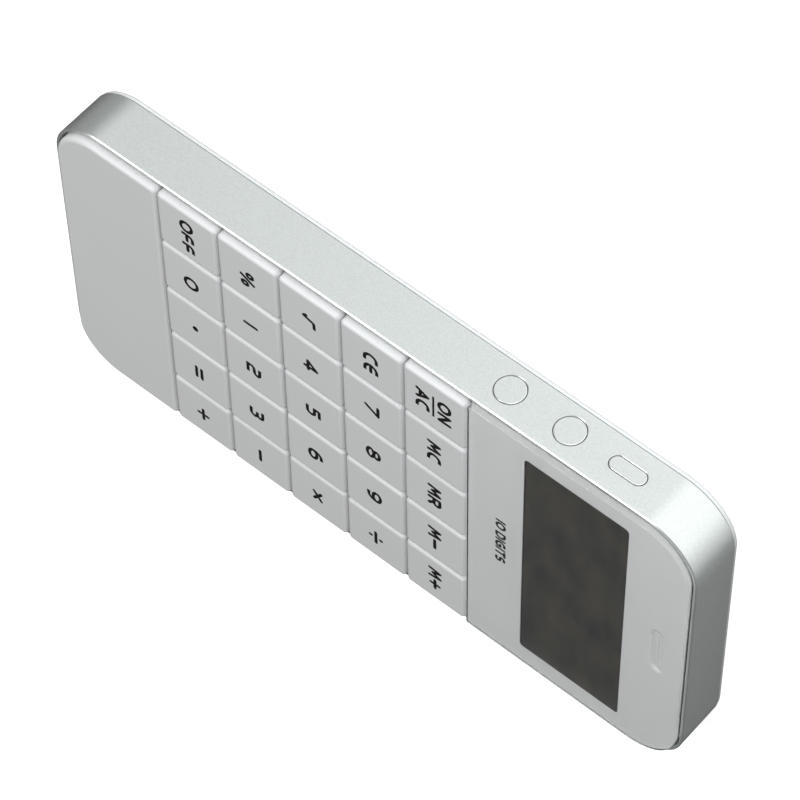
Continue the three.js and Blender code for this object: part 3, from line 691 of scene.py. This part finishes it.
# Each letter: its width and its strokes.
LETTERS = {
    "0": (1.0, [arc(0.5, 0.5, 0.5, 0.5, 90, 270, 16), arc(0.5, 0.5, 0.5, 0.5, 270, 450, 16)]),
    "1": (0.0, [[(0, 0), (0, 1)]]),
    "2": (0.86, [[(0.04, 1.0), (0.5, 1.0)] + arc(0.56, 0.77, 0.3, 0.23, 90, -90)[1:]
                 + arc(0.3, 0.27, 0.3, 0.27, 90, 180) + [(0, 0), (0.86, 0)]]),
    "3": (0.84, [[(0, 1.0), (0.5, 1.0)] + arc(0.55, 0.765, 0.27, 0.235, 90, -90)[1:] + [(0.25, 0.53)],
                 [(0.45, 0.53)] + arc(0.56, 0.265, 0.28, 0.265, 90, -90) + [(0, 0)]]),
    "4": (0.92, [[(0.66, 0), (0.66, 1)], [(0.66, 1), (0.0, 0.27)], [(0.0, 0.27), (0.92, 0.27)]]),
    "5": (0.86, [[(0.8, 1.0), (0.1, 1.0)], [(0.1, 1.0), (0.1, 0.6)],
                 [(0.1, 0.6), (0.5, 0.6)] + arc(0.56, 0.3, 0.3, 0.3, 90, -90) + [(0, 0)]]),
    "6": (0.92, [[(0.78, 1.0)] + arc(0.52, 0.48, 0.52, 0.52, 90, 180)
                 + arc(0.46, 0.31, 0.46, 0.31, 180, 360, 16),
                 arc(0.46, 0.31, 0.46, 0.31, 0, 180, 16)]),
    "7": (0.88, [[(0, 1), (0.88, 1)], [(0.88, 1), (0.26, 0)]]),
    "8": (0.94, [arc(0.47, 0.77, 0.38, 0.23, -90, 90, 12), arc(0.47, 0.77, 0.38, 0.23, 90, 270, 12),
                 arc(0.47, 0.27, 0.47, 0.27, -90, 90, 12), arc(0.47, 0.27, 0.47, 0.27, 90, 270, 12)]),
    "C": (0.8, [[(0.8, 1.0), (0.5, 1.0)] + arc(0.5, 0.5, 0.5, 0.5, 90, 270, 16)[1:] + [(0.8, 0.0)]]),
    "E": (0.8, [[(0.8, 1.0), (0.5, 1.0)] + arc(0.5, 0.5, 0.5, 0.5, 90, 270, 16)[1:] + [(0.8, 0.0)],
                [(0, 0.5), (0.74, 0.5)]]),
    "F": (0.76, [[(0, 0), (0, 0.62)] + arc(0.38, 0.62, 0.38, 0.38, 180, 90)[1:] + [(0.76, 1.0)],
                 [(0, 0.48), (0.68, 0.48)]]),
    "N": (0.86, [[(0, 0), (0, 1)], [(0, 1), (0.86, 0)], [(0.86, 0), (0.86, 1)]]),
    "A": (0.96, [[(0, 0), (0.48, 1)], [(0.48, 1), (0.96, 0)], [(0.18, 0.3), (0.78, 0.3)]]),
    "M": (1.04, [[(0, 0), (0.14, 1)], [(0.14, 1), (0.52, 0.3)],
                 [(0.52, 0.3), (0.9, 1)], [(0.9, 1), (1.04, 0)]]),
    "R": (0.84, [[(0, 0), (0, 1)], [(0, 1), (0.5, 1)] + arc(0.52, 0.73, 0.28, 0.27, 90, -90) + [(0, 0.46)],
                 [(0.46, 0.46), (0.84, 0)]]),
    "D": (0.86, [[(0, 0), (0, 1)], [(0, 1), (0.36, 1)] + arc(0.38, 0.5, 0.48, 0.5, 90, -90, 16) + [(0, 0)]]),
    "G": (0.9, [[(0.84, 0.92)] + arc(0.5, 0.5, 0.5, 0.5, 72, 288, 16) + [(0.9, 0.1), (0.9, 0.5)],
                [(0.9, 0.48), (0.54, 0.48)]]),
    "T": (0.8, [[(0, 1), (0.8, 1)], [(0.4, 1), (0.4, 0)]]),
    "S": (0.74, [[(0.7, 0.92)] + arc(0.36, 0.74, 0.34, 0.26, 60, 250) + arc(0.4, 0.26, 0.34, 0.26, 70, -120)
                 + [(0.02, 0.1)]]),
    "+": (1.05, [[(0, 0.5), (1.05, 0.5)], [(0.525, 0.1), (0.525, 0.9)]]),
    "-": (1.05, [[(0, 0.5), (1.05, 0.5)]]),
    "x": (0.84, [[(0, 0.2), (0.84, 0.8)], [(0, 0.8), (0.84, 0.2)]]),
    "/": (1.12, [[(0, 0.5), (1.12, 0.5)], [(0.56, 0.86), (0.56, 0.95)], [(0.56, 0.05), (0.56, 0.14)]]),
    "=": (1.0, [[(0, 0.7), (1.0, 0.7)], [(0, 0.26), (1.0, 0.26)]]),
    ".": (0.22, [arc(0.11, 0.5, 0.11, 0.11, 90, 270, 8), arc(0.11, 0.5, 0.11, 0.11, 270, 450, 8)]),
    "r": (1.12, [[(0.0, 0.3), (0.2, 0.06)], [(0.2, 0.06), (0.5, 0.98)], [(0.5, 0.98), (1.12, 1.0)]]),
    "%": (1.4, [[(0.42, 0), (0.98, 1.0)],
                arc(0.2, 0.72, 0.2, 0.24, 90, 270), arc(0.2, 0.72, 0.2, 0.24, 270, 450),
                arc(1.2, 0.28, 0.2, 0.24, 90, 270), arc(1.2, 0.28, 0.2, 0.24, 270, 450)]),
}
LETTERS["O"] = LETTERS["0"]
LETTERS["I"] = LETTERS["1"]
LETTERS["9"] = (0.92, [[(0.92 - x, 1 - y) for x, y in stroke] for stroke in LETTERS["6"][1]])


def stroke_cells(points, width):
    """Four-cornered cells along a stroke, mitred where they meet."""
    sides = []
    for i, (x, y) in enumerate(points):
        before = points[max(i - 1, 0)]
        after = points[min(i + 1, len(points) - 1)]
        into = Vector((x - before[0], y - before[1])) if i else Vector((after[0] - x, after[1] - y))
        out = Vector((after[0] - x, after[1] - y)) if i < len(points) - 1 else into
        into.normalize()
        out.normalize()
        along = (into + out).normalized()
        across = Vector((-along.y, along.x))
        reach = width / 2 / max(abs(along.dot(out)), 0.5)
        side_x, side_y = across.x * reach, across.y * reach
        sides.append(((x + side_x, y + side_y), (x - side_x, y - side_y)))
    return [(a[0], b[0], b[1], a[1]) for a, b in zip(sides, sides[1:])]


def knot(point, width, sides=10):
    """The round where two strokes meet at a corner."""
    x, y = point
    return [
        (x + width / 2 * math.cos(math.tau * i / sides), y + width / 2 * math.sin(math.tau * i / sides))
        for i in range(sides)
    ]


SPACE_WIDTH = 0.45     # of a letter's height


def text_cells(text, height, stroke, gap, stretch=1.0):
    """The cells of a line of lettering, centred on the origin. Stretch scales every letter's width."""
    rise = height - stroke
    pen, cells = 0.0, []
    for letter in text:
        if letter == " ":
            pen += rise * SPACE_WIDTH
            continue
        width, strokes = LETTERS[letter]
        for line in strokes:
            points = [(pen + x * rise * stretch, y * rise - rise / 2) for x, y in line]
            cells += stroke_cells(points, stroke)
            if len(line) < 4:
                cells += [knot(point, stroke) for point in points]
        pen += width * rise * stretch + stroke + gap
    total = pen - gap - stroke
    return [[(x - total / 2, y) for x, y in cell] for cell in cells]


def ink_film(name, cells, z, thickness, material):
    """One closed film of ink over all the cells, its top at z."""
    corners, faces = [], []
    for cell in cells:
        area = sum(a[0] * b[1] - b[0] * a[1] for a, b in zip(cell, cell[1:] + cell[:1]))
        ordered = cell if area > 0 else cell[::-1]
        faces.append(list(range(len(corners), len(corners) + len(ordered))))
        corners += [Vector(p) for p in ordered]
    points, _, flat, _, _, origins = delaunay_2d_cdt(corners, [], faces, 0, 1e-5)
    kept = [f for f, origin in zip(flat, origins) if origin]
    made = bmesh.new()
    used = sorted({i for f in kept for i in f})
    top = {i: made.verts.new((points[i].x, points[i].y, z)) for i in used}
    under = {i: made.verts.new((points[i].x, points[i].y, z - thickness)) for i in used}
    edges = {}
    for f in kept:
        made.faces.new([top[i] for i in f])
        made.faces.new([under[i] for i in reversed(f)])
        for a, b in zip(f, f[1:] + f[:1]):
            edges[(a, b)] = True
    for a, b in edges:
        if (b, a) not in edges:
            made.faces.new((top[a], under[a], under[b], top[b]))
    bmesh.ops.recalc_face_normals(made, faces=made.faces)
    mesh = bpy.data.meshes.new(name)
    made.to_mesh(mesh)
    made.free()
    mesh.transform(Matrix.Scale(MM, 4))
    mesh.materials.append(material)
    film = bpy.data.objects.new(name, mesh)
    bpy.context.scene.collection.objects.link(film)
    return film


def shifted(cells, dx, dy):
    """The cells, moved."""
    return [[(x + dx, y + dy) for x, y in cell] for cell in cells]


black_ink = moulded("black_ink", (0.008, 0.008, 0.009), 0.5, 0.6, 0.1, 0.3, 5000.0, Specular_IOR_Level=0.3)
INK = 0.58           # stroke width
FILM = 0.012
GAP = 0.28
LEGENDS = {          # lettering, height, and how far it stands off the middle of the cap
    "key_off": ("OFF", 2.6, 0.3), "key_0": ("0", 2.85, 0.3), "key_point": (".", 2.8, 0.2),
    "key_equals": ("=", 2.9, 0.3), "key_plus": ("+", 2.9, 0.05),
    "key_percent": ("%", 2.8, 0.4), "key_1": ("1", 2.8, 0.2), "key_2": ("2", 2.8, 0.25),
    "key_3": ("3", 2.8, 0.15), "key_minus": ("-", 2.9, 0.2),
    "key_root": ("r", 2.6, 0.1), "key_4": ("4", 2.8, 0.0), "key_5": ("5", 2.8, 0.15),
    "key_6": ("6", 2.8, 0.25), "key_multiply": ("x", 2.8, 0.1),
    "key_ce": ("CE", 2.7, 0.0), "key_7": ("7", 2.8, -0.1), "key_8": ("8", 2.8, 0.1),
    "key_9": ("9", 2.8, 0.0), "key_divide": ("/", 3.0, 0.0),
    "key_mc": ("MC", 2.55, -0.1), "key_mr": ("MR", 2.55, 0.0),
    "key_m_minus": ("M-", 2.55, 0.0), "key_m_plus": ("M+", 2.55, -0.2),
}
films = {
    name: shifted(text_cells(text, height, INK, GAP), aside, 0)
    for name, (text, height, aside) in LEGENDS.items()
}
# The ON key carries two lines with a bar between them.
PAIR_HEIGHT = 2.5
PAIR_ASIDE = -0.12
PAIR_Y = (1.86, -1.99)
RULE_HALF = 2.4
RULE_Y = -0.09
RULE_WIDTH = 0.35
films["key_on"] = (
    shifted(text_cells("ON", PAIR_HEIGHT, INK, GAP), PAIR_ASIDE, PAIR_Y[0])
    + shifted(text_cells("AC", PAIR_HEIGHT, INK, GAP), PAIR_ASIDE, PAIR_Y[1])
    + stroke_cells([(-RULE_HALF + PAIR_ASIDE, RULE_Y), (RULE_HALF + PAIR_ASIDE, RULE_Y)], RULE_WIDTH)
)
for name, cells in films.items():
    film = ink_film("legend_" + name, cells, KEY_TOP + FILM, FILM + 0.004, black_ink)
    film.matrix_world = key_objects[name].matrix_world
    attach(film, name)

# ---- Blank panel --------------------------------------------------------------------------------
# The plain white panel below the keys, the same ABS and finish as the caps, pegged to the chassis.
chin_low, chin_high = box_mm("chin_panel")
CHIN_CORNER = 7.6
PEG_RADIUS = 1.2
pegs = ((-18.0, -52.0), (18.0, -52.0))
chin = loft("blank_panel", pillow(
    chin_low.x, chin_high.x, chin_low.y, chin_high.y, CHIN_CORNER, KEY_CORNER,
    CAP_START, chin_high.z, KEY_FILLET, 6, 16,
))
join(chin, [rod(x, y, PEG_RADIUS, chin_low.z, CAP_START + 0.3) for x, y in pegs], "UNION")
finish_mesh(chin, "blank_panel", white_key)
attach(chin, "root")
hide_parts("chin_panel")

# ---- Display lens -------------------------------------------------------------------------------
# Clear acrylic with a polished edge and a shallow milled slot near its end. A white layer behind it
# leaves the window clear, stops short of the edge, and has a recess with a raised bar at the slot.
lens_low, lens_high = box_mm("display_lens")
LENS_BEVEL = 0.2
LENS_CORNER = (0.3, 8.3)
lens = loft("lens_acrylic", pillow(
    lens_low.x, lens_high.x, lens_low.y, lens_high.y, LENS_CORNER[0], LENS_CORNER[1],
    lens_low.z, lens_high.z, LENS_BEVEL, 8, 20,
))
SLOT_Y = 52.4
SLOT_HALF = (4.7, 1.05)
SLOT_DEPTH = 0.34
SLOT_SLOPE = 0.6
slot_rings = []
for z, grow in ((-SLOT_DEPTH, 0.0), (0.0, SLOT_SLOPE), (0.5, SLOT_SLOPE + 1.0)):
    x, y = SLOT_HALF[0] - SLOT_SLOPE + grow, SLOT_HALF[1] - SLOT_SLOPE + grow
    slot_rings.append(ring(-x, x, SLOT_Y - y, SLOT_Y + y, y - 0.01, y - 0.01, lens_high.z + z, 10))
join(lens, [loft("cutter", slot_rings)], "DIFFERENCE")
clear_acrylic, tree, shader = new_material("clear_acrylic", IOR=1.49, Transmission_Weight=1.0)
where = add_node(tree, "ShaderNodeTexCoord").outputs["Object"]
haze = add_node(tree, "ShaderNodeTexNoise", {"Vector": where, "Scale": 400.0, "Detail": 4.0}).outputs["Fac"]
lens_rough = ranged(tree, haze, 0.02, 0.07)
raised = add_node(tree, "ShaderNodeBump", {"Height": haze, "Strength": 0.05, "Distance": 0.01 * MM})
shader.inputs["Base Color"].default_value = (0.97, 0.985, 0.98, 1)
tree.links.new(lens_rough, shader.inputs["Roughness"])
tree.links.new(raised.outputs["Normal"], shader.inputs["Normal"])
# Shadow rays through sloping faces, mainly the slot's walls, are dimmed: a painted shadow on the print below,
# standing in for the light that the slopes bend aside.
upward = add_node(tree, "ShaderNodeTexCoord").outputs["Normal"]
level = add_node(tree, "ShaderNodeSeparateXYZ", {"Vector": upward}).outputs["Z"]
slope_shadow = add_node(tree, "ShaderNodeValToRGB", {"Fac": level})      # the slot's slopes turn light aside
slope_shadow.color_ramp.elements[0].position = 0.7
slope_shadow.color_ramp.elements[0].color = (0.93, 0.94, 0.94, 1)
slope_shadow.color_ramp.elements[1].position = 0.995
slope_shadow.color_ramp.elements[1].color = (0.93, 0.94, 0.94, 1)
for place in (0.8, 0.95):
    slope_shadow.color_ramp.elements.new(place).color = (0.12, 0.125, 0.125, 1)
through = add_node(tree, "ShaderNodeBsdfTransparent", {"Color": slope_shadow.outputs["Color"]})
path = add_node(tree, "ShaderNodeLightPath")
lamp_mix = add_node(tree, "ShaderNodeMixShader", {
    0: path.outputs["Is Shadow Ray"], 1: shader.outputs["BSDF"], 2: through.outputs["BSDF"],
})
tree.links.new(lamp_mix.outputs["Shader"], tree.nodes["Material Output"].inputs["Surface"])
finish_mesh(lens, "lens_acrylic", clear_acrylic, 15)
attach(lens, "root")
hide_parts("display_lens")

# The white layer, with its window.
PRINT_INSET = 0.12
PRINT_BASE = lens_low.z + 0.03
PRINT_TOP = lens_low.z + 0.3       # the layer lies inside the bonded acrylic
WINDOW_HALF = (24.72, 8.94)
WINDOW_Y = 37.68
WINDOW_CORNER = 0.75
print_film = loft("lens_print", [
    ring(
        lens_low.x + PRINT_INSET, lens_high.x - PRINT_INSET,
        lens_low.y + PRINT_INSET, lens_high.y - PRINT_INSET,
        LENS_CORNER[0] - PRINT_INSET, LENS_CORNER[1] - PRINT_INSET, z, 20,
    ) for z in (PRINT_BASE, PRINT_TOP)
])
join(print_film, [loft("cutter", [
    ring(
        -WINDOW_HALF[0], WINDOW_HALF[0], WINDOW_Y - WINDOW_HALF[1], WINDOW_Y + WINDOW_HALF[1],
        WINDOW_CORNER, WINDOW_CORNER, z, 6,
    ) for z in (PRINT_TOP - 1, PRINT_TOP + 1)
])], "DIFFERENCE")
RECESS = (5.45, 1.3, 0.5, 0.22)     # half its length and width, its slope's width, its depth
BAR = (4.75, 0.42, 0.4, 0.17)       # the same for the bar, with its rise
PILL_X = 0.35
PILL_Y = SLOT_Y + 0.1


def pill(name, half_x, half_y, levels):
    """A closed pill on the print; each level is a height and how far the outline grows there."""
    return loft(name, [
        ring(PILL_X - half_x - grow, PILL_X + half_x + grow, PILL_Y - half_y - grow, PILL_Y + half_y + grow,
             half_y + grow - 0.01, half_y + grow - 0.01, PRINT_TOP + z, 12)
        for z, grow in levels
    ])


half_x, half_y, slope, depth = RECESS
join(print_film, [pill("hollow", half_x, half_y, ((-depth, -slope), (0.0, 0.0), (0.1, 0.3)))], "DIFFERENCE")
bar_x, bar_y, slope, rise = BAR
join(print_film, [pill("bar", bar_x, bar_y, ((-depth - 0.02, 0.0), (-depth + rise, -slope)))], "UNION")
white_print = moulded("white_print", (0.62, 0.62, 0.62), 0.02, 0.5, 0.05, 0.1)
finish_mesh(print_film, "lens_print", white_print, 6)
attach(print_film, "root")

# The line below the window, in narrower letters than the keys'.
DIGITS_HEIGHT = 1.9
DIGITS_STROKE = 0.44
DIGITS_GAP = 0.13
DIGITS_STRETCH = 0.92
DIGITS_PLACE = (0.35, 24.9)
DIGITS_TOP = PRINT_TOP + 0.014
digits_cells = text_cells("10 DIGITS", DIGITS_HEIGHT, DIGITS_STROKE, DIGITS_GAP, DIGITS_STRETCH)
digits = ink_film("legend_lens", shifted(digits_cells, *DIGITS_PLACE), DIGITS_TOP, FILM, black_ink)
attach(digits, "root")

# ---- Studio -------------------------------------------------------------------------------------
# A plain pale table, a soft surround that is brighter on the control side and the display end, a
# small bluish lamp low on the control side, and a large lamp above.
floor_low = cad_box[0]
made = bmesh.new()
bmesh.ops.create_circle(made, cap_ends=True, radius=4.0, segments=96)
floor_mesh = bpy.data.meshes.new("table_top")
made.to_mesh(floor_mesh)
made.free()
table = bpy.data.objects.new("table_top", floor_mesh)
bpy.context.scene.collection.objects.link(table)
table.location.z = floor_low[2] - 0.02 * MM
table.visible_glossy = False
table_white, tree, shader = new_material("table_white", Roughness=0.9)
paper = add_node(tree, "ShaderNodeTexNoise", {"Scale": 300.0, "Detail": 2.0}).outputs["Fac"]
paper_shade = ranged(tree, paper, 0.83, 0.85)
tree.links.new(paper_shade, shader.inputs["Base Color"])
glow = add_node(tree, "ShaderNodeEmission", {"Color": (1, 1, 1, 1), "Strength": 0.8})
lit = add_node(tree, "ShaderNodeAddShader", {0: shader.outputs["BSDF"], 1: glow.outputs["Emission"]})
path = add_node(tree, "ShaderNodeLightPath")
shown = add_node(tree, "ShaderNodeMixShader", {
    0: path.outputs["Is Camera Ray"], 1: shader.outputs["BSDF"], 2: lit.outputs["Shader"],
})
tree.links.new(shown.outputs["Shader"], tree.nodes["Material Output"].inputs["Surface"])
floor_mesh.materials.append(table_white)

world = bpy.data.worlds.new("soft_surround")
bpy.context.scene.world = world
world.use_nodes = True
tree = world.node_tree
heading = add_node(tree, "ShaderNodeTexCoord").outputs["Generated"]
facing = add_node(tree, "ShaderNodeVectorMath", {
    0: heading, 1: (-0.75, 0.5, -0.43),
}, operation="DOT_PRODUCT").outputs["Value"]
spread = add_node(tree, "ShaderNodeMapRange", {
    "Value": facing, "From Min": -1.0, "From Max": 1.0,
}).outputs["Result"]
ramp = add_node(tree, "ShaderNodeValToRGB", {"Fac": spread})
stops = ramp.color_ramp.elements
levels = ((-1.0, 0.09), (-0.5, 0.05), (-0.25, 0.19), (0.1, 0.165), (0.6, 0.86), (0.86, 1.42))
for facing_value, level in levels[1:-1]:
    stops.new((facing_value + 1) / 2).color = (level, level * 1.02, level * 1.01, 1)
for stop, (facing_value, level) in ((stops[0], levels[0]), (stops[-1], levels[-1])):
    stop.position = (facing_value + 1) / 2
    stop.color = (level, level * 1.02, level * 1.01, 1)
soft = add_node(tree, "ShaderNodeBackground", {"Color": ramp.outputs["Color"], "Strength": 1.0})
plain = add_node(tree, "ShaderNodeBackground", {"Color": (0.95, 0.95, 0.95, 1), "Strength": 1.0})
path = add_node(tree, "ShaderNodeLightPath")
sky = add_node(tree, "ShaderNodeMixShader", {
    0: path.outputs["Is Camera Ray"], 1: soft.outputs["Background"], 2: plain.outputs["Background"],
})
tree.links.new(sky.outputs["Shader"], tree.nodes["World Output"].inputs["Surface"])

lamp_data = bpy.data.lights.new("side_lamp", "AREA")
lamp_data.shape = "RECTANGLE"
lamp_data.size = 0.2
lamp_data.size_y = 0.1
lamp_data.energy = 0.21
lamp_data.color = (0.93, 0.975, 1.0)
lamp = bpy.data.objects.new("side_lamp", lamp_data)
bpy.context.scene.collection.objects.link(lamp)
lamp.location = (-0.24, 0.1, 0.06)
lamp_aim = Vector((-0.03, 0.03, 0.005))
lamp.rotation_euler = (lamp_aim - lamp.location).to_track_quat("-Z", "Y").to_euler()

top_data = bpy.data.lights.new("top_lamp", "AREA")
top_data.shape = "SQUARE"
top_data.size = 0.45
top_data.energy = 3.95
top_lamp = bpy.data.objects.new("top_lamp", top_data)
bpy.context.scene.collection.objects.link(top_lamp)
top_lamp.location = Vector((-0.42, -0.36, 0.83)) * 0.9
top_lamp.rotation_euler = (-top_lamp.location).to_track_quat("-Z", "Y").to_euler()

# ---- Camera -------------------------------------------------------------------------------------
# Over the control side, looking along the keys towards the far corner, rolled on its side.
CAMERA_DISTANCE = 0.5582
CAMERA_ELEVATION = 24.567
CAMERA_HEADING = 113.491     # from +Y towards +X
CAMERA_ROLL = -134.911
centre = (Vector(cad_box[0]) + Vector(cad_box[1])) / 2
aim = Vector((centre.x - 0.01667, centre.y + 0.00634, frame_high.z * MM))
heading, elevation, roll = (math.radians(a) for a in (CAMERA_HEADING, CAMERA_ELEVATION, CAMERA_ROLL))
forward = Vector((
    math.sin(heading) * math.cos(elevation), math.cos(heading) * math.cos(elevation), -math.sin(elevation),
))
level = forward.cross(Vector((0, 0, 1))).normalized()
upright = level.cross(forward)
right = level * math.cos(roll) + upright * math.sin(roll)
up = right.cross(forward)
camera_data = bpy.data.cameras.new("camera")
camera_data.sensor_width = 36.0
camera_data.lens = 182.83
camera_data.clip_start = 0.01
camera = bpy.data.objects.new("camera", camera_data)
bpy.context.scene.collection.objects.link(camera)
camera.matrix_world = Matrix((
    (right.x, up.x, -forward.x, 0),
    (right.y, up.y, -forward.y, 0),
    (right.z, up.z, -forward.z, 0),
    (0, 0, 0, 1),
))
camera.location = aim - forward * CAMERA_DISTANCE
bpy.context.scene.camera = camera
bpy.context.scene.view_settings.view_transform = "Standard"

bpy.context.view_layer.update()
